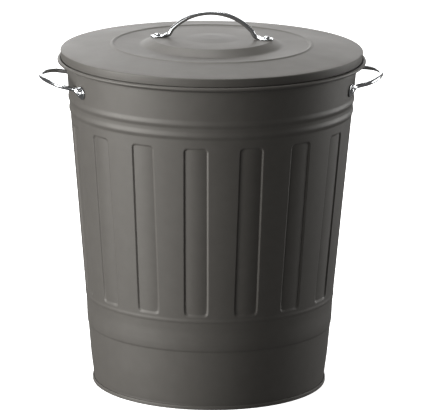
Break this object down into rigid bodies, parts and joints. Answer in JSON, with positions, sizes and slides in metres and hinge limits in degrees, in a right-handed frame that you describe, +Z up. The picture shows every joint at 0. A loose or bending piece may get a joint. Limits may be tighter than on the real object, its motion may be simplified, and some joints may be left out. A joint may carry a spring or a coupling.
{
  "type": "lidded metal waste can",
  "caption": "Tapered round sheet-steel waste can with upright flutes, ring beads, a rolled rim, chromed wire side handles and a lift-off dished lid with a chromed bow handle.",
  "frame": {"origin": "centre of the base on the ground", "axes": "+Z up; -Y is the front; the side handles stand out along +X and -X"},
  "size_m": [0.4596, 0.41, 0.5045],
  "materials": {
    "painted_steel": "satin powder coat, warm dark grey",
    "chrome_plate": "bright chrome plate",
    "zinc_plate": "bright zinc plate",
    "galvanised_wire": "galvanised steel wire"
  },
  "bodies": {
    "can": {"can_shell": "painted_steel", "rim_wire": "galvanised_wire", "can_bottom": "painted_steel", "left_handle": "chrome_plate", "right_handle": "chrome_plate", "left_handle_front_screw": "chrome_plate", "left_handle_front_washer": "zinc_plate", "left_handle_front_nut": "zinc_plate", "left_handle_rear_screw": "chrome_plate", "left_handle_rear_washer": "zinc_plate", "left_handle_rear_nut": "zinc_plate", "right_handle_front_screw": "chrome_plate", "right_handle_front_washer": "zinc_plate", "right_handle_front_nut": "zinc_plate", "right_handle_rear_screw": "chrome_plate", "right_handle_rear_washer": "zinc_plate", "right_handle_rear_nut": "zinc_plate"},
    "lid": {"lid_shell": "painted_steel", "lid_handle": "chrome_plate", "lid_handle_left_screw": "chrome_plate", "lid_handle_left_washer": "zinc_plate", "lid_handle_left_nut": "zinc_plate", "lid_handle_right_screw": "chrome_plate", "lid_handle_right_washer": "zinc_plate", "lid_handle_right_nut": "zinc_plate"}
  },
  "joints": [
    {"name": "lid_lift", "type": "slide", "parent": "can", "child": "lid", "axis": [0, 0, 1], "range_m": [0, 0.4]}
  ]
}
